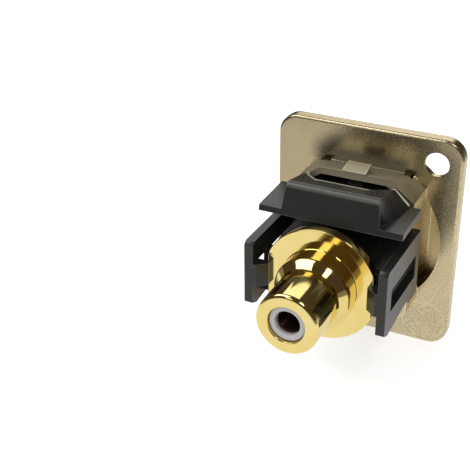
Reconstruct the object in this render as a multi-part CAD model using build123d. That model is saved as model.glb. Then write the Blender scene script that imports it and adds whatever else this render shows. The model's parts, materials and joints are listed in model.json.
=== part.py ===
from build123d import *
import math
import os

# A panel socket for phono plugs, with a socket on each side of the panel.
# X runs to the right as seen from the front, Y runs from the front towards the
# inside of the equipment, and Z runs up. The origin is on the socket axis, in
# the back face of the plate, which lies on the panel. Millimetres and degrees.

# Die-cast frame: the plate that is screwed to the panel
plate_width = 26.0
plate_height = 31.0
plate_thickness = 2.0
plate_corner_radius = 2.8
plate_edge_rounding = 0.4
screw_edge_distance = 3.5
screw_hole_radius = 1.65
screw_head_radius = 3.1
blank_mark_radius = 3.0
blank_mark_depth = 0.05

# Die-cast frame: the round boss in front and the hollows behind it
boss_radius = 11.85
boss_height = 2.8
boss_edge_rounding = 0.45
hollow_radius = 10.95
hollow_depth = 3.4
badge_slot_half_width = 1.3
badge_slot_top = 11.1
badge_slot_depth = 0.3
badge_step_height = 0.7
badge_step_depth = 0.9

# Die-cast frame: the window in the boss and the tunnel behind the plate
window_half_width = 7.55
window_top = 8.3
window_bottom = -8.5
window_lip = 1.6
hook_notch_half_width = 3.2
hook_notch_depth = 1.4
hook_notch_length = 3.2
tunnel_depth = 5.2
tunnel_wall = 0.85
tunnel_root_top = 9.95
tunnel_root_half_width = 6.5
tunnel_root_side_top = 8.4
tunnel_rim_top = 11.0
tunnel_rim_half_width = 4.75
tunnel_rim_side_top = 8.35
tunnel_bottom_corner = 1.2
notch_centre_x = 5.95
notch_half_width = 0.75
notch_depth = 1.1
notch_length = 1.0
notch_pocket = 1.5

# Catch housing on the tunnel's roof
catch_half_width = 1.6
catch_top = 11.65
catch_start = 2.8
catch_slope_drop = 0.45
catch_pocket_half_width = 1.15
catch_pocket_top = 10.8
catch_pocket_start = 3.3
catch_pocket_end = 4.6

# Moulded insert: the block that fills the window, with a round recess
insert_gap = 0.07
insert_face_recess = 0.3
insert_shoulder_cut = 0.6
recess_mouth_radius = 7.8
recess_floor_radius = 6.8
recess_floor_y = 4.2
floor_web_end = 6.5
hook_slot_half_width = 1.15
hook_slot_top = -8.15
hook_slot_height = 0.6
shoulder_gap = 0.05

# Moulded insert: the part behind the tunnel that grips the socket's flange
arm_outer_x = 9.6
arm_thickness = 1.2
arm_top = 5.0
arm_bottom = -4.4
arm_end = 17.9
arm_corner = 0.5
arm_underside_step_y = 8.4
arm_underside_step = 0.8
tube_radius = 5.0
back_web = 1.4
back_web_top = 2.6
arm_window_start = 6.6
arm_window_top = 1.9
arm_window_bottom = -1.3
hook_overlap = 0.4
hook_gap = 0.1
hook_lead_in = 0.7

# Release latch: an arm under the tunnel's roof with a hood to press
latch_pivot_y = -1.9
latch_pivot_z = 7.95
knuckle_radius = 0.7
knuckle_gap = 0.08
knuckle_inner_x = 3.9
knuckle_outer_x = 5.9
latch_arm_half_width = 5.2
latch_arm_bottom = 8.35
latch_arm_thickness = 0.65
latch_relief_angle = 8.5
tooth_half_width = 0.95
tooth_top = 10.5
tooth_start = 2.0
tooth_heel_y = 3.4
tooth_heel_height = 0.5
tooth_crest = 3.75
tooth_end = 4.2
hood_start = 6.2
hood_front_wall = 1.0
hood_half_width = 9.7
hood_top_half_width = 6.15
hood_front_top = 10.5
hood_ridge_top = 11.75
hood_ridge_y = 12.0
hood_wing_top = 8.45
hood_wing_height = 0.95
hood_wing_drop = 0.2
hood_front_foot = 8.4
hood_scoop_y = 9.7
hood_scoop_foot = 7.9
hood_flank_y = 12.2
hood_flank_foot = 6.75
hood_back_foot = 6.2
hood_back_top_y = 12.55
hood_back_bottom_y = 13.45
hood_bottom = 7.4
hood_back_wall = 1.3
hood_shell = 0.8
hood_dish_depth = 0.8
hood_dish_end_y = 9.2
hood_dish_half_width = 5.7
hood_dish_corner = 2.2
hood_rounding = 0.75

# Turned shells of the two sockets, back to back
shell_radius = 4.1
shell_edge_rounding = 0.25
shell_end_rounding = 0.5
front_end_y = -4.8
front_ring_width = 0.85
front_ring_thickness = 1.0
rear_end_y = 26.2
flange_radius = 7.75
flange_flat_x = 7.1
flange_thickness = 1.4
flange_y = 14.6
collar_width = 1.0
collar_end_y = 18.6
shoulder_end_y = 19.5
hub_step = 0.2
hub_gap = 0.05
thread_wall = 0.7
thread_end_y = 10.0
thread_gap = 0.05
mouth_wall = 1.65
mouth_depth = 1.0
shell_wall = 1.2

# White insulators inside the shells, and the contact that runs through both
insulator_wall = 0.85
insulator_gap = 0.05
insulator_recess = 0.4
insulator_joint_y = 10.35
pin_hole_step = 0.05
pin_hole_lip = 0.75
pin_hole_lead_in = 0.25
contact_wall = 0.35
contact_gap = 0.05
contact_web = 1.4
contact_slot_width = 0.35
contact_slot_length = 7.0
contact_slot_turn = 45.0

# Places that follow from the sizes above
screw_x = plate_width / 2 - screw_edge_distance
screw_z = plate_height / 2 - screw_edge_distance
boss_face_y = -plate_thickness - boss_height
lip_back_y = boss_face_y + window_lip
insert_face_y = boss_face_y + insert_face_recess
insert_half_width = window_half_width - insert_gap
insert_top = window_top - insert_gap
insert_bottom = window_bottom + insert_gap
tunnel_side_x = window_half_width + tunnel_wall
shoulder_y = tunnel_depth + shoulder_gap
seat_y = flange_y - shoulder_gap
flange_back_y = flange_y + flange_thickness
latch_arm_top = latch_arm_bottom + latch_arm_thickness
front_ring_radius = shell_radius + front_ring_width
collar_radius = shell_radius + collar_width
hub_radius = shell_radius + hub_step
thread_radius = shell_radius - thread_wall
mouth_radius = shell_radius - mouth_wall
insulator_radius = shell_radius - shell_wall - insulator_gap
contact_radius = insulator_radius - insulator_wall - contact_gap
contact_bore_radius = contact_radius - contact_wall
pin_hole_radius = contact_bore_radius + pin_hole_step
cut_margin = 2.0


def block(x0, x1, y0, y1, z0, z1):
    """A box between two opposite corners."""
    centre = Pos((x0 + x1) / 2, (y0 + y1) / 2, (z0 + z1) / 2)
    return centre * Box(x1 - x0, y1 - y0, z1 - z0)


def across(y, corners):
    """A flat outline of (x, z) corners that stands across the socket axis."""
    plane = Plane(origin=(0, y, 0), x_dir=(1, 0, 0), z_dir=(0, -1, 0))
    return plane * make_face(Polyline(corners, close=True))


def prism(corners, y0, y1):
    """The outline of (x, z) corners, drawn out along the socket axis."""
    return extrude(across(y0, corners), amount=y1 - y0, dir=(0, 1, 0))


def slab(corners, x0, x1):
    """The outline of (y, z) corners, drawn out from side to side."""
    plane = Plane(origin=(x0, 0, 0), x_dir=(0, 1, 0), z_dir=(1, 0, 0))
    return extrude(plane * make_face(Polyline(corners, close=True)), amount=x1 - x0, dir=(1, 0, 0))


def turned(corners):
    """A solid turned about the socket axis from (y, radius) corners."""
    outline = Polyline([(radius, y) for y, radius in corners], close=True)
    return revolve(make_face(outline), Axis.Y)


def rod(radius, y0, y1):
    """A plain round bar on the socket axis."""
    return turned([(y0, 0), (y0, radius), (y1, radius), (y1, 0)])


def rims(solid, y, radius):
    """The round edges of a turned solid at one depth and radius."""
    def is_rim(edge):
        same_depth = abs(edge.center(CenterOf.MASS).Y - y) < 0.01
        return same_depth and abs(edge.radius - radius) < 0.01
    return [edge for edge in solid.edges().filter_by(GeomType.CIRCLE) if is_rim(edge)]


def mirrored(solid):
    """A solid with its mirror image on the other side of the axis."""
    return solid + mirror(solid, Plane.YZ)


def tunnel_outline(top, half_width, side_top, wall):
    """The tunnel's section: a flat roof, two chamfers, two sides and a floor.

    A wall of 0 gives the outside, with its lower corners cut off, and the wall
    thickness gives the inside, with square lower corners.
    """
    side = tunnel_side_x - wall
    floor = window_bottom - tunnel_wall + wall
    corner = 0 if wall else tunnel_bottom_corner
    right = [(half_width - wall / 3, top - wall), (side, side_top - wall / 2), (side, floor + corner)]
    if corner:
        right.append((side - corner, floor))
    return [(-x, z) for x, z in right] + right[::-1]


def root_outline(wall):
    """The tunnel's section where it leaves the plate."""
    return tunnel_outline(tunnel_root_top, tunnel_root_half_width, tunnel_root_side_top, wall)


def rim_outline(wall):
    """The tunnel's section at its open end, where the roof is higher."""
    return tunnel_outline(tunnel_rim_top, tunnel_rim_half_width, tunnel_rim_side_top, wall)


def make_plate():
    """The flat plate with its round boss, rounded along every outer edge."""
    outline = Plane.XZ * RectangleRounded(plate_width, plate_height, plate_corner_radius)
    plate = extrude(outline, amount=plate_thickness)
    plate = fillet(plate.faces().sort_by(Axis.Y)[0].edges(), plate_edge_rounding)
    plate = fillet(plate.faces().sort_by(Axis.Y)[-1].edges(), plate_edge_rounding)
    boss = rod(boss_radius, boss_face_y, -plate_thickness / 2)
    boss = fillet(rims(boss, boss_face_y, boss_radius), boss_edge_rounding)
    return plate + boss


def make_screw_hole():
    """A hole with a countersink that opens to the front, on the socket axis."""
    head_depth = screw_head_radius - screw_hole_radius
    return turned([
        (-plate_thickness - cut_margin, 0),
        (-plate_thickness - cut_margin, screw_head_radius),
        (-plate_thickness, screw_head_radius),
        (-plate_thickness + head_depth, screw_hole_radius),
        (cut_margin, screw_hole_radius),
        (cut_margin, 0),
    ])


def make_catch_housing():
    """The raised box on the roof that the latch's tooth snaps up into."""
    base = tunnel_root_top - tunnel_wall / 2
    profile = [
        (catch_start, base),
        (catch_start, catch_top),
        (tunnel_depth, catch_top - catch_slope_drop),
        (tunnel_depth, base),
    ]
    housing = slab(profile, -catch_half_width, catch_half_width)
    below_roof = loft([across(0, root_outline(tunnel_wall)), across(tunnel_depth, rim_outline(tunnel_wall))])
    return housing - below_roof


def make_frame():
    """The die-cast frame: plate, boss, window and tunnel in one piece."""
    frame = make_plate()
    frame += loft([across(0, root_outline(0)), across(tunnel_depth, rim_outline(0))])
    frame += make_catch_housing()

    passage = loft([across(0, root_outline(tunnel_wall)), across(tunnel_depth, rim_outline(tunnel_wall))])
    passage += prism(root_outline(tunnel_wall), lip_back_y, 0)
    passage += prism(rim_outline(tunnel_wall), tunnel_depth, tunnel_depth + cut_margin)
    window = block(-window_half_width, window_half_width, boss_face_y - cut_margin, lip_back_y,
                   window_bottom, window_top)
    hook_notch = block(-hook_notch_half_width, hook_notch_half_width, boss_face_y - cut_margin,
                       boss_face_y + hook_notch_length, window_bottom - hook_notch_depth, 0)
    frame -= passage + window + hook_notch

    frame -= block(-catch_pocket_half_width, catch_pocket_half_width, catch_pocket_start,
                   catch_pocket_end, 0, catch_pocket_top)
    side_hollows = rod(hollow_radius, -hollow_depth, cut_margin)
    side_hollows -= block(-tunnel_side_x, tunnel_side_x, -plate_height, plate_height,
                          -plate_height, plate_height)
    frame -= side_hollows
    frame -= mirrored(make_roof_notch())

    for side in (-1, 1):
        frame -= Pos(side * screw_x, 0, -side * screw_z) * make_screw_hole()
    frame -= Pos(-screw_x, 0, -screw_z) * rod(blank_mark_radius, -blank_mark_depth, cut_margin)
    return frame - make_badge_slot()


def make_roof_notch():
    """The small V-shaped notch where the roof meets the plate, and its pocket in the plate."""
    def outline(rise):
        half_width = notch_half_width * (1 + rise / notch_depth)
        return [
            (notch_centre_x, tunnel_root_top - notch_depth),
            (notch_centre_x + half_width, tunnel_root_top + rise),
            (notch_centre_x - half_width, tunnel_root_top + rise),
        ]

    return prism(outline(notch_depth), 0, notch_length) + prism(outline(0), -notch_pocket, 0)


def make_badge_slot():
    """The bare slot above the window, with a deeper step at the window's edge."""
    slot = block(-badge_slot_half_width, badge_slot_half_width, boss_face_y - cut_margin,
                 boss_face_y + badge_slot_depth, window_top - insert_gap, badge_slot_top)
    step = block(-badge_slot_half_width, badge_slot_half_width, boss_face_y - cut_margin,
                 boss_face_y + badge_step_depth, window_top - insert_gap,
                 window_top + badge_step_height)
    return slot + step


def make_arm():
    """One side wall of the insert, with its window and the hook behind it."""
    inner_x = arm_outer_x - arm_thickness
    profile = [
        (shoulder_y, arm_bottom),
        (arm_underside_step_y, arm_bottom),
        (arm_underside_step_y + arm_underside_step, arm_bottom + arm_underside_step),
        (arm_end - arm_thickness, arm_bottom),
        (arm_end, arm_bottom + arm_corner),
        (arm_end, arm_top - arm_corner),
        (arm_end - arm_corner, arm_top),
        (shoulder_y, arm_top),
    ]
    arm = slab(profile, inner_x, arm_outer_x)
    hook_front = flange_back_y + hook_gap
    arm -= block(inner_x - cut_margin, arm_outer_x + cut_margin, arm_window_start, hook_front,
                 arm_window_bottom, arm_window_top)
    hook_inner_x = flange_flat_x - hook_overlap
    plane = Plane(origin=(0, 0, arm_window_bottom), x_dir=(1, 0, 0), z_dir=(0, 0, 1))
    hook = plane * make_face(Polyline([
        (arm_outer_x - arm_thickness / 2, hook_front),
        (hook_inner_x, hook_front),
        (hook_inner_x, hook_front + hook_lead_in),
        (inner_x - hook_overlap, arm_end),
        (arm_outer_x - arm_thickness / 2, arm_end),
    ], close=True))
    return arm + extrude(hook, amount=arm_window_top - arm_window_bottom, dir=(0, 0, 1))


def make_insert():
    """The moulded insert: recessed block in front, tube and gripping arms behind."""
    slope = math.tan(math.radians(latch_relief_angle))
    side = [
        (insert_face_y, insert_bottom),
        (shoulder_y, insert_bottom),
        (shoulder_y, insert_top - (shoulder_y - latch_pivot_y) * slope),
        (latch_pivot_y, insert_top),
        (insert_face_y, insert_top),
    ]
    insert = slab(side, -insert_half_width, insert_half_width)
    hook_end = boss_face_y + hook_notch_length - insert_gap
    hook_bottom = window_bottom - hook_notch_depth + insert_gap
    hook_half_width = hook_notch_half_width - insert_gap
    insert += block(-hook_half_width, hook_half_width, insert_face_y, hook_end, hook_bottom, 0)
    arm_inner_x = arm_outer_x - arm_thickness
    insert += block(-arm_inner_x, arm_inner_x, shoulder_y, floor_web_end, arm_bottom, arm_top)
    insert += rod(tube_radius, recess_floor_y, seat_y)
    insert += block(-arm_inner_x, arm_inner_x, seat_y - back_web, seat_y,
                    arm_bottom + arm_underside_step, back_web_top)
    insert += mirrored(make_arm())

    recess = turned([
        (insert_face_y - cut_margin, 0),
        (insert_face_y - cut_margin, recess_mouth_radius),
        (insert_face_y, recess_mouth_radius),
        (recess_floor_y, recess_floor_radius),
        (recess_floor_y, 0),
    ])
    insert -= recess
    shoulder_cut = prism([
        (insert_half_width - insert_shoulder_cut, insert_top),
        (insert_half_width, insert_top - insert_shoulder_cut),
        (insert_half_width + insert_shoulder_cut, insert_top + insert_shoulder_cut),
    ], lip_back_y - insert_gap, shoulder_y)
    insert -= mirrored(shoulder_cut)
    insert -= rod(hub_radius + hub_gap, 0, seat_y + cut_margin)
    insert -= block(-hook_slot_half_width, hook_slot_half_width, insert_face_y - cut_margin,
                    hook_end + cut_margin / 2, hook_slot_top - hook_slot_height, hook_slot_top)
    groove = knuckle(knuckle_radius + knuckle_gap, knuckle_gap)
    return insert - mirrored(groove)


def knuckle(radius, end_gap):
    """One rounded end of the latch arm, or the groove that it turns in."""
    length = knuckle_outer_x - knuckle_inner_x + 2 * end_gap
    centre = Pos((knuckle_inner_x + knuckle_outer_x) / 2, latch_pivot_y, latch_pivot_z)
    return centre * Rot(0, 90, 0) * Cylinder(radius, length)


def along_hood(y):
    """How far one depth lies between the hood's front, 0, and its ridge, 1."""
    return (y - hood_start) / (hood_ridge_y - hood_start)


def hood_top(y):
    """The height of the hood's top, which climbs from its front to its ridge."""
    return hood_front_top + (hood_ridge_top - hood_front_top) * along_hood(y)


def hood_section(y, foot):
    """The hood's outline at one depth: flat top, flanks down to foot, level wings."""
    wing = hood_wing_top - hood_wing_drop * along_hood(y)
    right = [
        (hood_top_half_width, hood_top(y)),
        (foot, wing),
        (hood_half_width, wing),
        (hood_half_width, hood_bottom),
    ]
    return across(y, [(-x, z) for x, z in right] + right[::-1])


def back_slope(offset):
    """Everything behind the hood's sloping back face, moved forward by offset."""
    run = (hood_back_bottom_y - hood_back_top_y) / (hood_ridge_top - hood_bottom)
    low = hood_bottom - cut_margin
    high = hood_ridge_top + cut_margin
    far = hood_back_bottom_y + 2 * cut_margin
    profile = [
        (hood_back_bottom_y + cut_margin * run - offset, low),
        (hood_back_top_y - cut_margin * run - offset, high),
        (far, high),
        (far, low),
    ]
    return slab(profile, -plate_width, plate_width)


def make_hood():
    """The hood over the arm's end: dished top, scooped flanks, level wings, back wall."""
    low = hood_bottom - cut_margin
    end = hood_back_bottom_y + cut_margin
    solid = loft([
        hood_section(hood_start, hood_front_foot),
        hood_section(hood_scoop_y, hood_scoop_foot),
        hood_section(hood_flank_y, hood_flank_foot),
        hood_section(end, hood_back_foot),
    ], ruled=True)
    cavity_start = hood_start + hood_front_wall
    cavity_half_width = hood_top_half_width - hood_shell
    roof = hood_dish_depth + hood_shell
    cavity = slab([
        (cavity_start, low),
        (cavity_start, hood_top(cavity_start) - roof),
        (end, hood_top(end) - roof),
        (end, low),
    ], -cavity_half_width, cavity_half_width)
    under_wings = block(-plate_width, plate_width, hood_start - cut_margin, end + cut_margin,
                        low, hood_wing_top - hood_wing_height)
    front_below_arm = block(-cavity_half_width, cavity_half_width, hood_start - cut_margin,
                            cavity_start, low, latch_arm_bottom)
    hood = solid - cavity - under_wings - front_below_arm
    hood += solid & back_slope(hood_back_wall)
    hood -= back_slope(0) + make_dish()
    ridge = hood.edges().filter_by(Axis.X).sort_by(Axis.Z)[-1]
    return fillet(ridge, hood_rounding)


def make_dish():
    """The dish in the hood's top, open in front and with two slanted corners behind."""
    start = hood_start - cut_margin
    over = hood_ridge_top + cut_margin
    dish = slab([
        (start, hood_top(start) - hood_dish_depth),
        (hood_dish_end_y, hood_top(hood_dish_end_y) - hood_dish_depth),
        (hood_dish_end_y, over),
        (start, over),
    ], -hood_dish_half_width, hood_dish_half_width)
    corners = dish.edges().filter_by(Axis.Z).sort_by(Axis.Y)[-2:]
    return chamfer(corners, hood_dish_corner)


def make_latch():
    """The release latch: rounded root, springy arm, tooth and hood."""
    arm_start = latch_pivot_y - knuckle_radius / 2
    arm = block(-latch_arm_half_width, latch_arm_half_width, arm_start,
                hood_start + hood_front_wall, latch_arm_bottom, latch_arm_top)
    tooth = slab([
        (tooth_start, latch_arm_top - latch_arm_thickness / 2),
        (tooth_start, latch_arm_top),
        (tooth_heel_y, latch_arm_top + tooth_heel_height),
        (tooth_crest, tooth_top),
        (tooth_end, tooth_top),
        (tooth_end, latch_arm_top - latch_arm_thickness / 2),
    ], -tooth_half_width, tooth_half_width)
    return arm + tooth + mirrored(knuckle(knuckle_radius, 0)) + make_hood()


def make_front_shell():
    """The front socket's shell, with the ring that bears on the insert's floor."""
    ring_y = recess_floor_y - front_ring_thickness
    bore = insulator_radius + insulator_gap
    shell = turned([
        (front_end_y, mouth_radius),
        (front_end_y, shell_radius),
        (ring_y, shell_radius),
        (ring_y, front_ring_radius),
        (recess_floor_y, front_ring_radius),
        (recess_floor_y, thread_radius),
        (thread_end_y, thread_radius),
        (thread_end_y, bore),
        (front_end_y + mouth_depth, bore),
        (front_end_y + mouth_depth, mouth_radius),
    ])
    shell = fillet(rims(shell, front_end_y, shell_radius), shell_end_rounding)
    return fillet(rims(shell, ring_y, front_ring_radius), shell_edge_rounding)


def make_rear_shell():
    """The rear socket's shell, with the flange that the arms hook over."""
    bore = insulator_radius + insulator_gap
    socket_end = thread_end_y + thread_gap
    shell = turned([
        (recess_floor_y + hub_gap, thread_radius + thread_gap),
        (recess_floor_y + hub_gap, hub_radius),
        (flange_y, hub_radius),
        (flange_y, flange_radius),
        (flange_back_y, flange_radius),
        (flange_back_y, collar_radius),
        (collar_end_y, collar_radius),
        (shoulder_end_y, shell_radius),
        (rear_end_y, shell_radius),
        (rear_end_y, mouth_radius),
        (rear_end_y - mouth_depth, mouth_radius),
        (rear_end_y - mouth_depth, bore),
        (socket_end, bore),
        (socket_end, thread_radius + thread_gap),
    ])
    for side in (-1, 1):
        shell -= block(min(side * flange_flat_x, side * 2 * flange_radius),
                       max(side * flange_flat_x, side * 2 * flange_radius),
                       flange_y - cut_margin, flange_back_y + cut_margin,
                       -flange_radius, flange_radius)
    shell = fillet(rims(shell, rear_end_y, shell_radius), shell_end_rounding)
    return fillet(rims(shell, collar_end_y, collar_radius), shell_edge_rounding)


def make_insulator(outer_y, inner_y, shell_end_y):
    """A stepped insulator whose nose looks out through the shell's mouth."""
    out = -1 if outer_y < inner_y else 1
    step_y = shell_end_y - out * (mouth_depth + insulator_gap)
    lip_y = outer_y - out * pin_hole_lip
    nose_radius = mouth_radius - insulator_gap
    bore = contact_radius + contact_gap
    return turned([
        (outer_y, pin_hole_radius + pin_hole_lead_in),
        (outer_y, nose_radius),
        (step_y, nose_radius),
        (step_y, insulator_radius),
        (inner_y, insulator_radius),
        (inner_y, bore),
        (lip_y, bore),
        (lip_y, pin_hole_radius),
        (outer_y - out * pin_hole_lead_in, pin_hole_radius),
    ])


def make_contact():
    """The contact: a bar bored from both ends, each end slit into fingers."""
    front_y = front_end_y + insulator_recess + pin_hole_lip + contact_gap
    rear_y = rear_end_y - insulator_recess - pin_hole_lip - contact_gap
    middle = (front_y + rear_y) / 2
    contact = rod(contact_radius, front_y, rear_y)
    contact -= rod(contact_bore_radius, front_y - cut_margin, middle - contact_web / 2)
    contact -= rod(contact_bore_radius, middle + contact_web / 2, rear_y + cut_margin)
    half_slot = contact_slot_width / 2
    reach = 2 * contact_radius
    for y0, y1 in ((front_y - cut_margin, front_y + contact_slot_length),
                   (rear_y - contact_slot_length, rear_y + cut_margin)):
        slots = block(-half_slot, half_slot, y0, y1, -reach, reach)
        slots += block(-reach, reach, y0, y1, -half_slot, half_slot)
        contact -= Rot(0, contact_slot_turn, 0) * slots
    return contact


nodes = {
    "frame": make_frame(),
    "insert_body": make_insert(),
    "release_latch": make_latch(),
    "front_jack_shell": make_front_shell(),
    "rear_jack_shell": make_rear_shell(),
    "front_insulator": make_insulator(front_end_y + insulator_recess,
                                      insulator_joint_y - insulator_gap, front_end_y),
    "rear_insulator": make_insulator(rear_end_y - insulator_recess, insulator_joint_y, rear_end_y),
    "centre_contact": make_contact(),
}

os.makedirs("parts", exist_ok=True)
for name, solid in nodes.items():
    export_step(solid, f"parts/{name}.step")
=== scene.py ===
# %% [markdown]
# # A panel socket for phono plugs
#
# This lesson dresses a small connector: a die-cast, nickel-plated plate with a
# window, a black moulded insert with a latch, and two gold-plated sockets back to
# back. The shapes come from a CAD frame, and the cells below give each piece its
# rounded edges and its finish.

# %% Load the frame
import json
import math

import bmesh
import bpy
from mathutils import Matrix, Vector


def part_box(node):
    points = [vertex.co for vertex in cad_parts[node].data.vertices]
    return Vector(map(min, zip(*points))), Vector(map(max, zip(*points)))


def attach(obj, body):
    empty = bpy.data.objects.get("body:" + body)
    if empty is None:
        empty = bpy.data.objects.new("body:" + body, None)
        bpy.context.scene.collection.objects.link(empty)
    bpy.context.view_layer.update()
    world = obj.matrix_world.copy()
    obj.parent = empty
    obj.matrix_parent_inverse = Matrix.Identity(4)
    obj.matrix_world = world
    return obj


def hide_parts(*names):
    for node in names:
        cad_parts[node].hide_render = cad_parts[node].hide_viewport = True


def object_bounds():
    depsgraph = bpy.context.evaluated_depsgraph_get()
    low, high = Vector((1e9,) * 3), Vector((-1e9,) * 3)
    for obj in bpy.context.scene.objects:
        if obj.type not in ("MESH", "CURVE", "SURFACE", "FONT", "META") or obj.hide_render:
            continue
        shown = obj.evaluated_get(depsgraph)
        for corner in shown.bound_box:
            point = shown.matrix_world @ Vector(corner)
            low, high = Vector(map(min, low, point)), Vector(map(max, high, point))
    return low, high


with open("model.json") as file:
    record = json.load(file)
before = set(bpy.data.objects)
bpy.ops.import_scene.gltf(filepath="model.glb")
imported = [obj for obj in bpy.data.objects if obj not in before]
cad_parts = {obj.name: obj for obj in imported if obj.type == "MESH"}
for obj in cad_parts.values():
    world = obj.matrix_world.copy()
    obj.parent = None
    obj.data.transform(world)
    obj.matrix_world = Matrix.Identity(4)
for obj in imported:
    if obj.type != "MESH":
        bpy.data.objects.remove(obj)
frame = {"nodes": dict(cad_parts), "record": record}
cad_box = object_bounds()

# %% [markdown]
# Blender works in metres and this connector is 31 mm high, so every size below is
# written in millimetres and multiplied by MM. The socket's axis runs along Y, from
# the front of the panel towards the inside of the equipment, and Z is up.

MM = 0.001
print("CAD box, mm:", [[round(v / MM, 2) for v in corner] for corner in cad_box])

# %% [markdown]
# ## The camera
#
# The photograph shows the connector from behind, from above and from the side of
# -X, and it stands to the right of the middle of the frame. The camera is placed by
# the same numbers that a fitted camera model gives: an azimuth, an elevation, a
# small roll, a distance and a sideways step, so that the perspective is the
# photograph's own.

# %% Camera
camera_azimuth = math.radians(207.18)
camera_elevation = math.radians(28.55)
camera_roll = math.radians(-0.69)
camera_distance = 139.96 * MM
camera_step_right = -17.84 * MM
camera_step_up = -0.52 * MM
camera_lens = 77.09
camera_sensor = 36.0

back = Vector((math.sin(camera_azimuth) * math.cos(camera_elevation),
               -math.cos(camera_azimuth) * math.cos(camera_elevation),
               math.sin(camera_elevation)))
level_right = Vector((math.cos(camera_azimuth), math.sin(camera_azimuth), 0))
level_up = back.cross(level_right)
right = math.cos(camera_roll) * level_right + math.sin(camera_roll) * level_up
up = math.cos(camera_roll) * level_up - math.sin(camera_roll) * level_right

camera_data = bpy.data.cameras.new("photo_camera")
camera_data.sensor_width = camera_sensor
camera_data.lens = camera_lens
camera_data.clip_start = MM
camera = bpy.data.objects.new("photo_camera", camera_data)
bpy.context.scene.collection.objects.link(camera)
place = camera_distance * back + camera_step_right * right + camera_step_up * up
turn = Matrix((right, up, back)).transposed().to_4x4()
camera.matrix_world = Matrix.Translation(place) @ turn
bpy.context.scene.camera = camera
bpy.context.scene.view_settings.view_transform = "Standard"
print("camera at, mm:", [round(v / MM, 1) for v in place])


# %% A helper for node trees
def math_node(tree, operation, a, b=None, clamp=False):
    """A math node whose inputs are sockets or plain numbers."""
    node = tree.nodes.new("ShaderNodeMath")
    node.operation = operation
    node.use_clamp = clamp
    for slot, value in enumerate((a, b)):
        if value is None:
            continue
        if isinstance(value, (int, float)):
            node.inputs[slot].default_value = value
        else:
            tree.links.new(value, node.inputs[slot])
    return node.outputs[0]


# %% [markdown]
# ## Light and floor
#
# A product picture of shiny metal lives from what the metal reflects. The camera
# sees a white room. Mirrors see white only up to the horizon: above it the room is
# a warm dark, as a studio is above its table, with a few lamps in it. A large
# softbox hangs high on the left, a narrow one on the right, a small lamp near the
# camera, and a pale screen stands behind the connector. That is what gives turned
# gold its dark brown bands and hard white lines. Dull surfaces get an even, dimmer
# light from all sides.

# %% World
world = bpy.data.worlds.new("white_room")
bpy.context.scene.world = world
world.use_nodes = True
world_tree = world.node_tree
nodes, links = world_tree.nodes, world_tree.links
nodes.clear()
pure_white = (1.0, 1.0, 1.0)
warm_dark = (1.0, 0.72, 0.50)
fill_colour = (1.0, 0.985, 0.96)
dark_above = 0.06
horizon_top = -0.06
dark_from = 0.03
fill_strength = 0.42
direction = nodes.new("ShaderNodeTexCoord")
height = nodes.new("ShaderNodeSeparateXYZ")
links.new(direction.outputs["Generated"], height.inputs[0])
fade = nodes.new("ShaderNodeMapRange")
fade.interpolation_type = "SMOOTHSTEP"
fade.inputs["From Min"].default_value = horizon_top
fade.inputs["From Max"].default_value = dark_from
fade.inputs["To Min"].default_value = 1.0
fade.inputs["To Max"].default_value = dark_above
links.new(height.outputs["Z"], fade.inputs["Value"])
warmth = nodes.new("ShaderNodeMapRange")
warmth.data_type = "FLOAT_VECTOR"
warmth_sockets = {socket.identifier: socket for socket in warmth.inputs}
warmth_sockets["To_Min_FLOAT3"].default_value = warm_dark
warmth_sockets["To_Max_FLOAT3"].default_value = pure_white
links.new(fade.outputs["Result"], warmth_sockets["Vector"])

# %% What the camera, the mirrors and the dull surfaces see
seen = nodes.new("ShaderNodeBackground")
seen.inputs["Color"].default_value = (*pure_white, 1)
mirrored_room = nodes.new("ShaderNodeBackground")
links.new(warmth.outputs["Vector"], mirrored_room.inputs["Color"])
links.new(fade.outputs["Result"], mirrored_room.inputs["Strength"])
fill = nodes.new("ShaderNodeBackground")
fill.inputs["Color"].default_value = (*fill_colour, 1)
fill.inputs["Strength"].default_value = fill_strength
path = nodes.new("ShaderNodeLightPath")
any_mirror = math_node(world_tree, "MAXIMUM", path.outputs["Is Glossy Ray"],
                       path.outputs["Is Transmission Ray"])
for_mirrors = nodes.new("ShaderNodeMixShader")
links.new(any_mirror, for_mirrors.inputs["Fac"])
links.new(fill.outputs[0], for_mirrors.inputs[1])
links.new(mirrored_room.outputs[0], for_mirrors.inputs[2])
for_camera = nodes.new("ShaderNodeMixShader")
links.new(path.outputs["Is Camera Ray"], for_camera.inputs["Fac"])
links.new(for_mirrors.outputs[0], for_camera.inputs[1])
links.new(seen.outputs[0], for_camera.inputs[2])
world_out = nodes.new("ShaderNodeOutputWorld")
links.new(for_camera.outputs[0], world_out.inputs["Surface"])
print("world: white to camera, fill", fill_strength)


# %% Lamps
def soft_lamp(name, toward, along, distance, width, depth, watts):
    """A rectangular area lamp that looks at the object's middle, its width laid along a direction."""
    data = bpy.data.lights.new(name, "AREA")
    data.shape = "RECTANGLE"
    data.size = width
    data.size_y = depth
    data.energy = watts
    lamp = bpy.data.objects.new(name, data)
    bpy.context.scene.collection.objects.link(lamp)
    outward = Vector(toward).normalized()
    level = Vector(along)
    level = (level - level.dot(outward) * outward).normalized()
    middle = (cad_box[0] + cad_box[1]) / 2
    turn = Matrix((level, outward.cross(level), outward)).transposed().to_4x4()
    lamp.matrix_world = Matrix.Translation(middle + outward * distance) @ turn
    print(name, "at, mm:", [round(v / MM) for v in lamp.matrix_world.translation])


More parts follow.
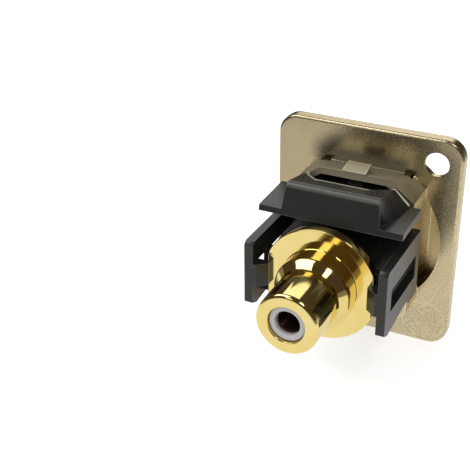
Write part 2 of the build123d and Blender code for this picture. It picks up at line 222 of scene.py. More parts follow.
lamp_distance = 260 * MM
screen_distance = 300 * MM
soft_lamp("left_softbox", toward=(0.52, 0.22, 0.83), along=(-0.53, 0.22, 0.33),
          distance=lamp_distance, width=190 * MM, depth=150 * MM, watts=0.27)
soft_lamp("right_strip", toward=(-0.42, 0.45, 0.79), along=(0.0, 1.0, 0.0),
          distance=lamp_distance, width=160 * MM, depth=50 * MM, watts=0.085)
soft_lamp("pale_screen", toward=(0.20, -0.79, 0.56), along=(1.0, 0.0, 0.0),
          distance=screen_distance, width=200 * MM, depth=160 * MM, watts=0.125)
soft_lamp("camera_side_lamp", toward=(0.24, 0.81, 0.53), along=(1.0, 0.0, 0.0),
          distance=lamp_distance, width=62 * MM, depth=110 * MM, watts=0.030)

# %% [markdown]
# The connector stands on a sheet of white paper. Its colour alone would be a light
# grey in the picture, so Light Path lifts it to white for the camera and for the
# mirrors, and it still keeps the connector's shadow. Mirrors see where the paper
# ends, about 10 cm away, and past that end the table is dim.

# %% Floor mesh
floor_size = 4000 * MM
floor_z = cad_box[0].z
mesh = bpy.data.meshes.new("floor")
bm = bmesh.new()
bmesh.ops.create_grid(bm, x_segments=1, y_segments=1, size=floor_size / 2)
bmesh.ops.translate(bm, vec=(0, 0, floor_z), verts=bm.verts)
bm.to_mesh(mesh)
bm.free()
floor = bpy.data.objects.new("floor", mesh)
bpy.context.scene.collection.objects.link(floor)
print("floor at z, mm:", round(floor_z / MM, 2))

# %% Floor paper
paper_grey = 0.86
mirrored_grey = 0.20
camera_lift = 0.66
mirrored_lift = 0.74
paper_end = 97 * MM
paper_fade = 9 * MM
past_paper = 0.12
floor_material = bpy.data.materials.new("pale_floor")
floor_material.use_nodes = True
floor_tree = floor_material.node_tree
nodes, links = floor_tree.nodes, floor_tree.links
floor_shader = nodes["Principled BSDF"]
floor_shader.inputs["Roughness"].default_value = 0.9
floor_shader.inputs["Specular IOR Level"].default_value = 0.1
path = nodes.new("ShaderNodeLightPath")
where = nodes.new("ShaderNodeTexCoord")
reach = nodes.new("ShaderNodeVectorMath")
reach.operation = "LENGTH"
links.new(where.outputs["Object"], reach.inputs[0])
paper = nodes.new("ShaderNodeMapRange")
paper.inputs["From Min"].default_value = paper_end
paper.inputs["From Max"].default_value = paper_end + paper_fade
paper.inputs["To Min"].default_value = 1.0
paper.inputs["To Max"].default_value = past_paper
links.new(reach.outputs["Value"], paper.inputs["Value"])
grey = nodes.new("ShaderNodeMapRange")
grey.inputs["To Min"].default_value = paper_grey
grey.inputs["To Max"].default_value = mirrored_grey
links.new(path.outputs["Is Glossy Ray"], grey.inputs["Value"])
links.new(grey.outputs["Result"], floor_shader.inputs["Base Color"])
for_camera = math_node(floor_tree, "MULTIPLY", path.outputs["Is Camera Ray"], camera_lift)
paper_lift = math_node(floor_tree, "MULTIPLY", paper.outputs["Result"], mirrored_lift)
for_mirrors = math_node(floor_tree, "MULTIPLY", path.outputs["Is Glossy Ray"], paper_lift)
floor_shader.inputs["Emission Color"].default_value = (*pure_white, 1)
links.new(math_node(floor_tree, "ADD", for_camera, for_mirrors), floor_shader.inputs["Emission Strength"])
mesh.materials.append(floor_material)
print("floor: white up to, mm:", round(paper_end / MM))


# %% [markdown]
# ## Shader groups
#
# Several finishes share the same effects: pale edges, part wear and part painted
# highlight, the fine grain of a blasted or moulded surface, and the rings that a
# lathe leaves. Each is a node group with named sockets, built once. The groups only
# give masks, values and normals, and every material mixes them in its own way.

# %% Group helpers
def new_group(name, inputs, outputs):
    """An empty shader group with float or vector sockets, its input and output nodes."""
    group = bpy.data.node_groups.new(name, "ShaderNodeTree")
    for label, kind, default in inputs:
        socket = group.interface.new_socket(label, in_out="INPUT", socket_type=kind)
        if default is not None:
            socket.default_value = default
    for label, kind in outputs:
        group.interface.new_socket(label, in_out="OUTPUT", socket_type=kind)
    source = group.nodes.new("NodeGroupInput")
    sink = group.nodes.new("NodeGroupOutput")
    print("group:", name)
    return group, source, sink


# %% Edge wear and painted highlight
edge_group, edge_in, edge_out = new_group(
    "edge_wear_and_sheen",
    [("Radius", "NodeSocketFloat", 0.15 * MM), ("Gain", "NodeSocketFloat", 6.0),
     ("Breakup", "NodeSocketFloat", 0.5)],
    [("Mask", "NodeSocketFloat")])
patches_per_mm = 0.9
most_kept = 1.25
rounded = edge_group.nodes.new("ShaderNodeBevel")
rounded.samples = 6
edge_group.links.new(edge_in.outputs["Radius"], rounded.inputs["Radius"])
true_normal = edge_group.nodes.new("ShaderNodeNewGeometry")
facing = edge_group.nodes.new("ShaderNodeVectorMath")
facing.operation = "DOT_PRODUCT"
edge_group.links.new(rounded.outputs["Normal"], facing.inputs[0])
edge_group.links.new(true_normal.outputs["Normal"], facing.inputs[1])
bend = math_node(edge_group, "SUBTRACT", 1.0, facing.outputs["Value"])
where = edge_group.nodes.new("ShaderNodeTexCoord")
patches = edge_group.nodes.new("ShaderNodeTexNoise")
patches.inputs["Scale"].default_value = patches_per_mm / MM
patches.inputs["Detail"].default_value = 3.0
edge_group.links.new(where.outputs["Object"], patches.inputs["Vector"])
loss = math_node(edge_group, "MULTIPLY", patches.outputs["Fac"], edge_in.outputs["Breakup"])
kept = math_node(edge_group, "SUBTRACT", most_kept, loss)
strong = math_node(edge_group, "MULTIPLY", bend, edge_in.outputs["Gain"])
edge_mask = math_node(edge_group, "MULTIPLY", strong, kept, clamp=True)
edge_group.links.new(edge_mask, edge_out.inputs["Mask"])

# %% Fine grain
grain_group, grain_in, grain_out = new_group(
    "fine_grain",
    [("Grain Size", "NodeSocketFloat", 0.2 * MM), ("Cloud Size", "NodeSocketFloat", 4.0 * MM)],
    [("Grain", "NodeSocketFloat"), ("Cloud", "NodeSocketFloat")])
where = grain_group.nodes.new("ShaderNodeTexCoord")
grain = grain_group.nodes.new("ShaderNodeTexNoise")
grain.inputs["Detail"].default_value = 4.0
grain.inputs["Roughness"].default_value = 0.65
cloud = grain_group.nodes.new("ShaderNodeTexNoise")
cloud.inputs["Detail"].default_value = 2.0
for noise, label in ((grain, "Grain Size"), (cloud, "Cloud Size")):
    grain_group.links.new(where.outputs["Object"], noise.inputs["Vector"])
    per_metre = math_node(grain_group, "DIVIDE", 1.0, grain_in.outputs[label])
    grain_group.links.new(per_metre, noise.inputs["Scale"])
grain_group.links.new(grain.outputs["Fac"], grain_out.inputs["Grain"])
grain_group.links.new(cloud.outputs["Fac"], grain_out.inputs["Cloud"])

# %% Turning marks
turned_group, turned_in, turned_out = new_group(
    "turning_marks",
    [("Pitch", "NodeSocketFloat", 0.12 * MM)],
    [("Rings", "NodeSocketFloat")])
where = turned_group.nodes.new("ShaderNodeTexCoord")
parts = turned_group.nodes.new("ShaderNodeSeparateXYZ")
turned_group.links.new(where.outputs["Object"], parts.inputs[0])
x_squared = math_node(turned_group, "MULTIPLY", parts.outputs["X"], parts.outputs["X"])
z_squared = math_node(turned_group, "MULTIPLY", parts.outputs["Z"], parts.outputs["Z"])
radius = math_node(turned_group, "SQRT", math_node(turned_group, "ADD", x_squared, z_squared))
path_length = math_node(turned_group, "ADD", radius, parts.outputs["Y"])
ring_count = math_node(turned_group, "DIVIDE", path_length, turned_in.outputs["Pitch"])
ring_noise = turned_group.nodes.new("ShaderNodeTexNoise")
ring_noise.noise_dimensions = "1D"
ring_noise.inputs["Scale"].default_value = 1.0
ring_noise.inputs["Detail"].default_value = 3.0
turned_group.links.new(ring_count, ring_noise.inputs["W"])
turned_group.links.new(ring_noise.outputs["Fac"], turned_out.inputs["Rings"])


# %% [markdown]
# ## Materials
#
# Every material starts from a Principled shader. A number that is the same all over
# stays on the shader's own socket, and only what changes over the surface is linked.

# %% Material helpers
def new_material(name, **constants):
    """A Principled material with constant values on the shader's own sockets."""
    material = bpy.data.materials.new(name)
    material.use_nodes = True
    shader = material.node_tree.nodes["Principled BSDF"]
    for label, value in constants.items():
        shader.inputs[label.replace("_", " ")].default_value = value
    print("material:", name)
    return material, material.node_tree, shader


def place_group(tree, group, **values):
    """A group node with its own values."""
    node = tree.nodes.new("ShaderNodeGroup")
    node.node_tree = group
    for label, value in values.items():
        node.inputs[label.replace("_", " ")].default_value = value
    return node


def spread(tree, value, low, high, from_low=0.3, from_high=0.7):
    """Maps a value from one range to another, clamped at both ends."""
    node = tree.nodes.new("ShaderNodeMapRange")
    node.inputs["From Min"].default_value = from_low
    node.inputs["From Max"].default_value = from_high
    node.inputs["To Min"].default_value = low
    node.inputs["To Max"].default_value = high
    tree.links.new(value, node.inputs["Value"])
    return node.outputs["Result"]


def product(tree, first, *others):
    """Masks multiplied together, so that only what lies in all of them stays."""
    result = first
    for other in others:
        result = math_node(tree, "MULTIPLY", result, other)
    return result


def object_place(tree):
    """The texture coordinates, and the X, Y and Z of the Object coordinates."""
    where = tree.nodes.new("ShaderNodeTexCoord")
    parts = tree.nodes.new("ShaderNodeSeparateXYZ")
    tree.links.new(where.outputs["Object"], parts.inputs[0])
    return where, parts.outputs


def band(tree, value, low, high, blur):
    """One between two values and nought outside them, with soft ends."""
    rise = spread(tree, value, 0.0, 1.0, low - blur, low)
    fall = spread(tree, value, 1.0, 0.0, high, high + blur)
    return product(tree, rise, fall)


def colours(tree, value, first, second):
    """Mixes two colours by a value that changes over the surface."""
    node = tree.nodes.new("ShaderNodeMix")
    node.data_type = "RGBA"
    tree.links.new(value, node.inputs["Factor"])
    for label, colour in (("A", first), ("B", second)):
        socket = [s for s in node.inputs if s.name == label and s.type == "RGBA"][0]
        if isinstance(colour, tuple):
            socket.default_value = (*colour, 1)
        else:
            tree.links.new(colour, socket)
    return [s for s in node.outputs if s.type == "RGBA"][0]


def bump(tree, shader, height, strength, distance):
    """Feeds a height into the shader's normal."""
    node = tree.nodes.new("ShaderNodeBump")
    node.inputs["Strength"].default_value = strength
    node.inputs["Distance"].default_value = distance
    tree.links.new(height, node.inputs["Height"])
    tree.links.new(node.outputs["Normal"], shader.inputs["Normal"])


# %% [markdown]
# The frame is die-cast zinc, blasted and then plated with nickel. The plating is a
# warm grey that is dull on the flats and pale on the edges: part wear, where the
# blasting never reached the rounded corners as evenly, and part painted highlight.
# Its back is fine-grained, and painted light makes it a little paler towards -X and
# deeper towards +X. Masks on the coordinates tell the casting's regions apart,
# so that one material can cover it all and still change from place to place.

# %% Nickel plate on the back
nickel, tree, shader = new_material("blasted_nickel", Metallic=1.0)
fine = place_group(tree, grain_group, Grain_Size=0.17 * MM, Cloud_Size=5.0 * MM)
edges = place_group(tree, edge_group, Radius=0.22 * MM, Gain=7.0, Breakup=0.5)
where, at = object_place(tree)
plate_reach = 11.0 * MM
speckle_range = (0.35, 0.62)
deep_nickel = ((0.53, 0.435, 0.265), (0.63, 0.53, 0.335))
pale_nickel = ((0.80, 0.665, 0.41), (0.92, 0.78, 0.50))
brown_speckle = (0.44, 0.365, 0.215)
clouds = spread(tree, fine.outputs["Cloud"], 0, 1)
deep_plating = colours(tree, clouds, *deep_nickel)
pale_plating = colours(tree, clouds, *pale_nickel)
# Painted light: the back's colour runs from the deep shades at +X to the pale shades at -X, a gradient of
# light across the plate.
painted_light_across = spread(tree, at["X"], 1.0, 0.0, -plate_reach, plate_reach)
flat_colour = colours(tree, painted_light_across, deep_plating, pale_plating)
speckles = spread(tree, fine.outputs["Grain"], 0, 1, *speckle_range)
back_colour = colours(tree, speckles, brown_speckle, flat_colour)
print("nickel: back, paler towards -X")

# %% [markdown]
# Above the tunnel the plate has painted shade: a dark colour in the corner behind
# the tunnel's roof, where shadow falls. The tunnel's roof and catch housing have
# painted light: they are coloured paler and greyer than the plate.
# the darkest region: it was blasted more coarsely, and its speckle is larger.

# %% Nickel plate in the corner and on the roof
corner_painted_shade = (0.125, 0.122, 0.095)
roof_painted_light = (0.79, 0.74, 0.575)
corner_sides = (5.0 * MM, 8.5 * MM)
corner_heights = (11.4 * MM, 14.2 * MM)
roof_root = (9.7 * MM, 10.0 * MM)
back_face = (0.05 * MM, 0.5 * MM)
roof_heights = (7.5 * MM, 9.0 * MM)
behind_plate = (0.0, 0.5 * MM)
# Painted shade mask: darkest on the plate's back just above the roof's root, fading upwards and to the
# sides.
corner = product(tree,
                 spread(tree, math_node(tree, "ABSOLUTE", at["X"]), 1.0, 0.0, *corner_sides),
                 spread(tree, at["Z"], 1.0, 0.0, *corner_heights),
                 spread(tree, at["Z"], 0.0, 1.0, *roof_root),
                 spread(tree, at["Y"], 1.0, 0.0, *back_face))
back_with_painted_shade = colours(tree, corner, back_colour, corner_painted_shade)
off_plate = spread(tree, at["Y"], 0.0, 1.0, *behind_plate)
on_tunnel = product(tree, off_plate, spread(tree, at["Z"], 0.0, 1.0, *roof_heights))
# Painted light: the tunnel's roof and catch housing take the paler roof colour, standing in for light
# from above.
with_painted_light = colours(tree, on_tunnel, back_with_painted_shade, roof_painted_light)
print("nickel: dark corner up to z, mm:", round(corner_heights[1] / MM, 1))

# %% Nickel plate on the front
front_nickel = ((0.155, 0.14, 0.103), (0.46, 0.415, 0.315))
coarse_range = (0.36, 0.62)
front_part = (-0.6 * MM, -0.4 * MM)
front_slopes = (-0.85, -0.55)
coarse = place_group(tree, grain_group, Grain_Size=0.25 * MM, Cloud_Size=6.0 * MM)
coarse_speckles = spread(tree, coarse.outputs["Grain"], 0, 1, *coarse_range)
front_colour = colours(tree, coarse_speckles, *front_nickel)
facing = tree.nodes.new("ShaderNodeSeparateXYZ")
tree.links.new(where.outputs["Normal"], facing.inputs[0])
on_front = product(tree, spread(tree, facing.outputs["Y"], 1.0, 0.0, *front_slopes),
                   spread(tree, at["Y"], 1.0, 0.0, *front_part))
plated = colours(tree, on_front, with_painted_light, front_colour)
print("nickel: front colours", front_nickel)

# %% [markdown]
# The pale edges, part wear and part painted highlight, come last, so that they stay
# pale in every region. Roughness is a value of its own: the roof is the dullest
# part, the flats are satin, and where the edges were rubbed they are also smooth,
# which gives them their sharp light line.

# %% Nickel plate on the edges, and its dullness
edge_wear_and_highlight = (0.95, 0.91, 0.72)
satin_range = (0.20, 0.32)
roof_dullness = 0.21
tunnel_dullness = 0.03
edge_polish = 0.35
# Partly painted highlight: the cream on the edges is part wear and part the light line that a rounded
# edge catches.
nickel_colour = colours(tree, edges.outputs["Mask"], plated, edge_wear_and_highlight)
tree.links.new(nickel_colour, shader.inputs["Base Color"])
duller = math_node(tree, "ADD", math_node(tree, "MULTIPLY", on_tunnel, roof_dullness),
                   math_node(tree, "MULTIPLY", off_plate, tunnel_dullness))
dull = math_node(tree, "ADD", spread(tree, fine.outputs["Grain"], *satin_range), duller)
shine = spread(tree, edges.outputs["Mask"], 1.0, edge_polish, 0.0, 1.0)
tree.links.new(product(tree, dull, shine), shader.inputs["Roughness"])
bump(tree, shader, fine.outputs["Grain"], strength=0.35, distance=0.03 * MM)
print("nickel: edges polished to", edge_polish, "of their roughness")

# %% [markdown]
# The insert and the latch are a black engineering plastic. Moulded plastic isn't
# black paint: it has a satin skin that turns grey where it faces the light, a very
# fine texture, and edges painted a touch paler, part wear and part painted
# highlight. The ridge of the latch's hood is painted grey, a painted highlight. Its
# front rim, which lies against the bright casting, and two edges of the dish in
# its top get thin painted highlight lines. They follow the hood's own coordinates,
# so they move with it.

# %% Places and colours of the hood's painted highlight lines
# Painted highlight: the ridge's grey stands in for the light band along the hood's rounded top.
ridge_painted_highlight = (0.105, 0.105, 0.09)
# Painted highlights: the cream line stands in for the bright rim of the casting at the hood's front edge,
# and the dish's two lines for the light that its edges catch.
rim_painted_highlight = (0.92, 0.87, 0.70)
dish_back_painted_sheen = (0.17, 0.15, 0.13)
dish_corner_painted_highlight = (0.62, 0.60, 0.52)
ridge_heights = (11.0 * MM, 11.25 * MM)
ridge_depths = (11.95 * MM, 12.2 * MM)
rim_heights = (8.6 * MM, 8.8 * MM)
rim_depths = (6.28 * MM, 6.60 * MM)
rim_blur = 0.06 * MM
top_heights = (10.5 * MM, 10.6 * MM)
dish_sides = (-3.6 * MM, 3.6 * MM)
dish_side_blur = 1.0 * MM
dish_depths = (9.24 * MM, 9.34 * MM)
corner_sums = (12.76 * MM, 13.0 * MM)
corner_reach = (3.5 * MM, 5.7 * MM)
corner_end_blur = 0.1 * MM
line_blur = 0.08 * MM
print("hood: rim line", round((rim_depths[1] - rim_depths[0]) / MM, 2), "mm wide")


# %% Painted highlights of the hood
def paint_hood_highlights(tree, grain, colour):
    """Paints highlights on the hood: grey on the ridge and thin pale lines on its rims."""
    at = object_place(tree)[1]
    ridge_breakup = spread(tree, grain, 0.6, 1.0)
    broken = spread(tree, grain, 0.7, 1.0)
    on_top = spread(tree, at["Z"], 0.0, 1.0, *top_heights)
    aslant = math_node(tree, "ADD", at["X"], at["Y"])
    ridge = product(tree, spread(tree, at["Z"], 0.0, 1.0, *ridge_heights),
                    spread(tree, at["Y"], 0.0, 1.0, *ridge_depths), ridge_breakup)
    front_rim = product(tree, spread(tree, at["Z"], 0.0, 1.0, *rim_heights),
                        band(tree, at["Y"], *rim_depths, rim_blur), broken)
    dish_back = product(tree, on_top, band(tree, at["X"], *dish_sides, dish_side_blur),
                        band(tree, at["Y"], *dish_depths, line_blur), broken)
    dish_corner = product(tree, on_top, band(tree, aslant, *corner_sums, line_blur),
                          band(tree, at["X"], *corner_reach, corner_end_blur), broken)
    for mask, line_colour in ((ridge, ridge_painted_highlight), (front_rim, rim_painted_highlight),
                              (dish_back, dish_back_painted_sheen), (dish_corner, dish_corner_painted_highlight)):
        colour = colours(tree, mask, colour, line_colour)
    return colour


# %% Black plastic
insert_blacks = ((0.015, 0.015, 0.014), (0.021, 0.021, 0.019))
latch_blacks = ((0.019, 0.019, 0.017), (0.026, 0.026, 0.023))
# Partly painted highlight: edges turn this paler grey, part handling wear and part the light line that an
# edge catches.
edge_wear_and_sheen_grey = (0.15, 0.15, 0.135)
skin_range = (0.22, 0.32)
rubbed_polish = 0.5


def black_plastic(name, blacks, with_hood_highlights):
    """Black moulded plastic between two blacks, with the hood's painted highlights where asked."""
    material, tree, shader = new_material(name, IOR=1.5)
    fine = place_group(tree, grain_group, Grain_Size=0.10 * MM, Cloud_Size=3.0 * MM)
    edges = place_group(tree, edge_group, Radius=0.18 * MM, Gain=5.0, Breakup=0.9)
    body = colours(tree, spread(tree, fine.outputs["Cloud"], 0, 1), *blacks)
    colour = colours(tree, edges.outputs["Mask"], body, edge_wear_and_sheen_grey)
    if with_hood_highlights:
        colour = paint_hood_highlights(tree, fine.outputs["Grain"], colour)
    tree.links.new(colour, shader.inputs["Base Color"])
    satin = spread(tree, fine.outputs["Grain"], *skin_range)
    polish = spread(tree, edges.outputs["Mask"], 1.0, rubbed_polish, 0.0, 1.0)
    tree.links.new(product(tree, satin, polish), shader.inputs["Roughness"])
    bump(tree, shader, fine.outputs["Grain"], strength=0.12, distance=0.02 * MM)
    return material


insert_plastic = black_plastic("moulded_black_plastic", insert_blacks, with_hood_highlights=False)
latch_plastic = black_plastic("latch_black_plastic", latch_blacks, with_hood_highlights=True)

# %% [markdown]
# The shells are turned brass with a thin gold plating. Gold has no highlights of
# its own: it tints whatever it mirrors. The faint rings of the lathe blur the
# reflections along the turning direction and give the flat faces their satin look.

# %% Gold plate
gold, tree, shader = new_material("gold_plate", Metallic=1.0)
rings = place_group(tree, turned_group, Pitch=0.10 * MM)
fine = place_group(tree, grain_group, Grain_Size=0.5 * MM, Cloud_Size=4.0 * MM)
gold_shades = ((0.89, 0.69, 0.24), (0.93, 0.76, 0.31))
gold_satin = (0.05, 0.13)
gold_colour = colours(tree, spread(tree, fine.outputs["Cloud"], 0, 1), *gold_shades)
tree.links.new(gold_colour, shader.inputs["Base Color"])
tree.links.new(spread(tree, rings.outputs["Rings"], *gold_satin), shader.inputs["Roughness"])
bump(tree, shader, rings.outputs["Rings"], strength=0.10, distance=0.01 * MM)

# %% [markdown]
# The insulators are turned from white plastic, slightly translucent at their rim.
# Behind the lip of the nose the plastic gets a painted brown shade, so that the
# hole reads as a warm dark. The painted shade is a mask on the distance from the
# axis and the depth.

# %% White plastic
white, tree, shader = new_material("white_insulator", Subsurface_Weight=0.15)
shader.inputs["Subsurface Radius"].default_value = (0.4 * MM, 0.4 * MM, 0.35 * MM)
shader.inputs["Subsurface Scale"].default_value = 1.0
rings = place_group(tree, turned_group, Pitch=0.14 * MM)
white_shades = ((0.62, 0.62, 0.64), (0.70, 0.70, 0.71))
white_satin = (0.35, 0.5)
white_colour = colours(tree, spread(tree, rings.outputs["Rings"], 0, 1), *white_shades)
tree.links.new(spread(tree, rings.outputs["Rings"], *white_satin), shader.inputs["Roughness"])
bump(tree, shader, rings.outputs["Rings"], strength=0.08, distance=0.01 * MM)

# %% Painted brown shade in the bore
bore_painted_shade = (0.22, 0.14, 0.115)
tint_start = 0.7 * MM
tint_full = 0.8 * MM
bore_edge = (2.1 * MM, 2.2 * MM)
front_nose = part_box("front_insulator")[0].y
rear_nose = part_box("rear_insulator")[1].y
at = object_place(tree)[1]
across = tree.nodes.new("ShaderNodeCombineXYZ")
tree.links.new(at["X"], across.inputs["X"])
tree.links.new(at["Z"], across.inputs["Z"])
from_axis = tree.nodes.new("ShaderNodeVectorMath")
from_axis.operation = "LENGTH"
tree.links.new(across.outputs[0], from_axis.inputs[0])
in_front_nose = spread(tree, at["Y"], 1.0, 0.0, front_nose + tint_start, front_nose + tint_full)
in_rear_nose = spread(tree, at["Y"], 0.0, 1.0, rear_nose - tint_full, rear_nose - tint_start)
behind_lip = math_node(tree, "SUBTRACT", 1.0, math_node(tree, "ADD", in_front_nose, in_rear_nose))
# Painted shade: deep in the bore, round the contact, the white turns brown where the hole lies in shadow.
bore_shade_mask = product(tree, spread(tree, from_axis.outputs["Value"], 1.0, 0.0, *bore_edge), behind_lip)
tree.links.new(colours(tree, bore_shade_mask, white_colour, bore_painted_shade), shader.inputs["Base Color"])
print("bore tinted from", round(tint_start / MM, 1), "mm behind the nose")

# %% [markdown]
# The contact inside the holes is barely seen. It is a plain plated metal of a
# reddish colour, duller than the gold, so that it doesn't glitter in the dark.

# %% Contact metal
contact_metal, tree, shader = new_material("plated_contact", Metallic=1.0)
rings = place_group(tree, turned_group, Pitch=0.16 * MM)
contact_shades = ((0.55, 0.35, 0.24), (0.70, 0.48, 0.34))
contact_satin = (0.25, 0.4)
contact_colour = colours(tree, spread(tree, rings.outputs["Rings"], 0, 1), *contact_shades)
tree.links.new(contact_colour, shader.inputs["Base Color"])
tree.links.new(spread(tree, rings.outputs["Rings"], *contact_satin), shader.inputs["Roughness"])
bump(tree, shader, rings.outputs["Rings"], strength=0.15, distance=0.01 * MM)


# %% [markdown]
# ## Pieces from castings and mouldings
#
# A CAD mesh is made of loose triangles with knife-sharp edges. No real casting has
# those: its edges are rounded by the tool or by the plating, and the thin bright
# line that such an edge catches is half of what makes it look real. So each piece
# starts as a merged copy of the CAD mesh, has its flat triangles joined into whole
# faces, and then has its sharp edges bevelled.

# %% Piece helpers
body_of_node = {node: body for body, members in frame["record"]["behaviour"]["bodies"].items()
                for node in members}
weld_distance = 0.002 * MM
flat_angle = math.radians(0.6)
sharp_angle = math.radians(32)
smooth_angle = math.radians(50)
casting_rounding = 0.16 * MM
moulding_rounding = 0.10 * MM
latch_rounding = 0.12 * MM
turned_rounding = 0.12 * MM
contact_rounding = 0.04 * MM


def merged_copy(node):
    """A bmesh of the CAD node with its triangles welded and its flats made whole."""
    bm = bmesh.new()
    bm.from_mesh(frame["nodes"][node].data)
    bmesh.ops.remove_doubles(bm, verts=bm.verts, dist=weld_distance)
    bmesh.ops.dissolve_limit(bm, angle_limit=flat_angle, verts=bm.verts, edges=bm.edges,
                             delimit={"NORMAL"})
    return bm


def round_edges(bm, width, segments=2, angle=sharp_angle):
    """Bevels every edge that is sharper than the angle."""
    sharp = [e for e in bm.edges if len(e.link_faces) == 2 and e.calc_face_angle(0) > angle]
    bmesh.ops.bevel(bm, geom=sharp, offset=width, offset_type="OFFSET", affect="EDGES",
                    segments=segments, profile=0.5, material=-1, clamp_overlap=True)
    return len(sharp)


def finish_piece(name, bm, node, material):
    """Makes the bmesh an object that rides with its node's body and stands for it."""
    mesh = bpy.data.meshes.new(name)
    bm.to_mesh(mesh)
    bm.free()
    for polygon in mesh.polygons:
        polygon.use_smooth = True
    mesh.set_sharp_from_angle(angle=smooth_angle)
    mesh.materials.append(material)
    piece = bpy.data.objects.new(name, mesh)
    bpy.context.scene.collection.objects.link(piece)
    weighted = piece.modifiers.new("even_normals", "WEIGHTED_NORMAL")
    weighted.keep_sharp = True
    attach(piece, body_of_node[node])
    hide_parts(node)
    print(name, "faces:", len(mesh.polygons))


# %% [markdown]
# The casting gets the widest rounding and the mouldings a crisper one, as blasting
# and plating soften an edge more than a steel mould does. A Bevel modifier could do
# the same, but the operator works on the merged copy at once, so that the mesh
# itself holds the rounding that is seen.

# %% Frame casting
bm = merged_copy("frame")
print("bevelled edges:", round_edges(bm, casting_rounding, segments=3))
finish_piece("frame_casting", bm, "frame", nickel)

# %% Insert moulding
bm = merged_copy("insert_body")
print("bevelled edges:", round_edges(bm, moulding_rounding))
finish_piece("insert_moulding", bm, "insert_body", insert_plastic)

# %% Latch moulding
bm = merged_copy("release_latch")
print("bevelled edges:", round_edges(bm, latch_rounding))
finish_piece("latch_moulding", bm, "release_latch", latch_plastic)


# %% [markdown]
# ## Turned pieces
#
# What comes off a lathe is drawn the way a lathe makes it: half of its section is
# drawn once, as distances along the axis and from the axis, and spun round Y. The
# CAD mesh could be bevelled as above, but polished gold shows every uneven facet,
# and a spun section has an even ring of faces all the way round.

# %% Spinning
spin_steps = 128


def turned_piece(section):
    """Spins a closed section of (y, radius) corners, in millimetres, round the Y axis."""
    bm = bmesh.new()
    corners = [bm.verts.new((radius * MM, y * MM, 0)) for y, radius in section]
    for first, second in zip(corners, corners[1:] + corners[:1]):
        bm.edges.new((first, second))
    bmesh.ops.spin(bm, geom=list(bm.verts) + list(bm.edges), cent=(0, 0, 0), axis=(0, 1, 0),
                   angle=math.tau, steps=spin_steps, use_merge=True, use_duplicate=False)
    bmesh.ops.remove_doubles(bm, verts=bm.verts, dist=weld_distance)
    bmesh.ops.recalc_face_normals(bm, faces=bm.faces)
    return bm


# %% [markdown]
# The rear shell is the piece that catches the eye: a flange that the arms hook
# over, a collar, a sloping shoulder and a plain barrel. Two flats are milled on the
# flange, where the hooks grip it, so it is spun whole first and then cut. The end
# of the barrel and the collar get a wider rounding of their own before the rest.

# %% Rounded rims
same_place = 0.01


def round_rim(bm, y, radius, width, segments):
    """Rounds one circular edge of a turned piece, given in millimetres."""
    def on_rim(vert):
        return (abs(vert.co.y / MM - y) < same_place
                and abs(math.hypot(vert.co.x, vert.co.z) / MM - radius) < same_place)

    rim = [e for e in bm.edges if on_rim(e.verts[0]) and on_rim(e.verts[1])]
    bmesh.ops.bevel(bm, geom=rim, offset=width * MM, offset_type="OFFSET", affect="EDGES",
                    segments=segments, profile=0.5, material=-1, clamp_overlap=True)
    print("rim at", round(y, 2), "rounded:", len(rim))


# %% Rear shell
end_rounding = 0.5
edge_rounding = 0.25
rear_low, rear_high = (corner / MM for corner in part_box("rear_jack_shell"))
flange_radius = rear_high.z
flange_flat = rear_high.x
rear_end = rear_high.y
hub_start = rear_low.y
hub_radius = 4.3
barrel_radius = 4.1
mouth_radius = 2.45
mouth_depth = 1.0
insulator_bore = 2.9
thread_bore = 3.45
thread_depth = 10.05
flange_front = 14.6
flange_back = 16.0
collar_radius = 5.1
collar_end = 18.6
shoulder_end = 19.5
shoulder_angle = math.radians(28)
bm = turned_piece([
    (hub_start, thread_bore), (hub_start, hub_radius), (flange_front, hub_radius),
    (flange_front, flange_radius), (flange_back, flange_radius), (flange_back, collar_radius),
    (collar_end, collar_radius), (shoulder_end, barrel_radius), (rear_end, barrel_radius),
    (rear_end, mouth_radius), (rear_end - mouth_depth, mouth_radius),
    (rear_end - mouth_depth, insulator_bore), (thread_depth, insulator_bore),
    (thread_depth, thread_bore)])
for side in (-1, 1):
    cut = bmesh.ops.bisect_plane(bm, geom=list(bm.verts) + list(bm.edges) + list(bm.faces),
                                 plane_co=(side * flange_flat * MM, 0, 0), plane_no=(side, 0, 0),
                                 clear_outer=True)
    rim = [e for e in cut["geom_cut"] if isinstance(e, bmesh.types.BMEdge)]
    bmesh.ops.holes_fill(bm, edges=rim)
bmesh.ops.recalc_face_normals(bm, faces=bm.faces)
round_rim(bm, rear_end, barrel_radius, end_rounding, segments=8)
round_rim(bm, collar_end, collar_radius, edge_rounding, segments=4)
print("bevelled edges:", round_edges(bm, turned_rounding, segments=3, angle=shoulder_angle))
finish_piece("gold_rear_shell", bm, "rear_jack_shell", gold)

# %% [markdown]
# The front shell is the same lathe work, only shorter: a plain barrel with a ring
# at its foot. It shares the barrel's radius, the mouth, the bore and the roundings
# with the rear one, because both take the same plug.

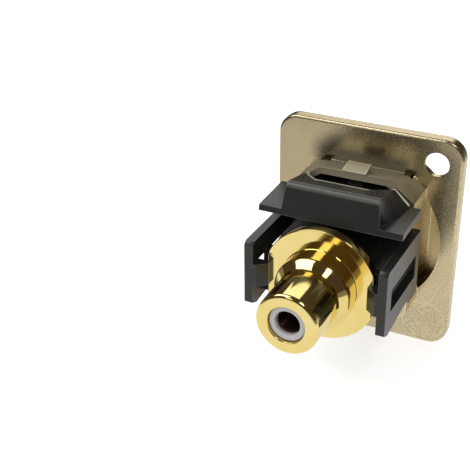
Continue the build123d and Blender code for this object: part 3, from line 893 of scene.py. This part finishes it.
# %% Front shell
front_low, front_high = (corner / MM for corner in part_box("front_jack_shell"))
front_end = front_low.y
ring_radius = front_high.z
ring_back = 4.2
ring_front = 3.2
spigot_radius = 3.4
bm = turned_piece([
    (front_end, mouth_radius), (front_end, barrel_radius), (ring_front, barrel_radius),
    (ring_front, ring_radius), (ring_back, ring_radius), (ring_back, spigot_radius),
    (front_high.y, spigot_radius), (front_high.y, insulator_bore),
    (front_end + mouth_depth, insulator_bore), (front_end + mouth_depth, mouth_radius)])
round_rim(bm, front_end, barrel_radius, end_rounding, segments=8)
round_rim(bm, ring_front, ring_radius, edge_rounding, segments=4)
print("bevelled edges:", round_edges(bm, turned_rounding, segments=3))
finish_piece("gold_front_shell", bm, "front_jack_shell", gold)


# %% [markdown]
# Each insulator is a white tube whose nose fills the shell's mouth. Its rim is
# rounded enough to read as a soft white ring round the dark hole. Both are the same
# stepped tube, one turned round, so one function makes them.

# %% Insulators
nose_radius = 2.4
step_radius = 2.85
pin_hole = 1.65
contact_bore = 2.0
lip_depth = 0.75
seat_gap = 0.05
nose_rounding = 0.2 * MM


def insulator(name, node, outer, inner, shell_end):
    """A stepped tube from its outer end to its inner end along Y, in millimetres."""
    inward = 1 if inner > outer else -1
    step = shell_end + inward * (mouth_depth + seat_gap)
    bm = turned_piece([
        (outer, pin_hole), (outer, nose_radius), (step, nose_radius), (step, step_radius),
        (inner, step_radius), (inner, contact_bore), (outer + inward * lip_depth, contact_bore),
        (outer + inward * lip_depth, pin_hole)])
    print("bevelled edges:", round_edges(bm, nose_rounding, segments=4))
    finish_piece(name, bm, node, white)


low, high = (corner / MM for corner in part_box("front_insulator"))
insulator("white_front_insulator", "front_insulator", low.y, high.y, front_end)
low, high = (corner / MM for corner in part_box("rear_insulator"))
insulator("white_rear_insulator", "rear_insulator", high.y, low.y, rear_end)

# %% [markdown]
# The contact is a thin tube, slit into fingers at both ends. The CAD mesh has the
# slits already, so it is only merged and given very small bevels.

# %% Contact
bm = merged_copy("centre_contact")
print("bevelled edges:", round_edges(bm, contact_rounding))
finish_piece("slit_contact", bm, "centre_contact", contact_metal)
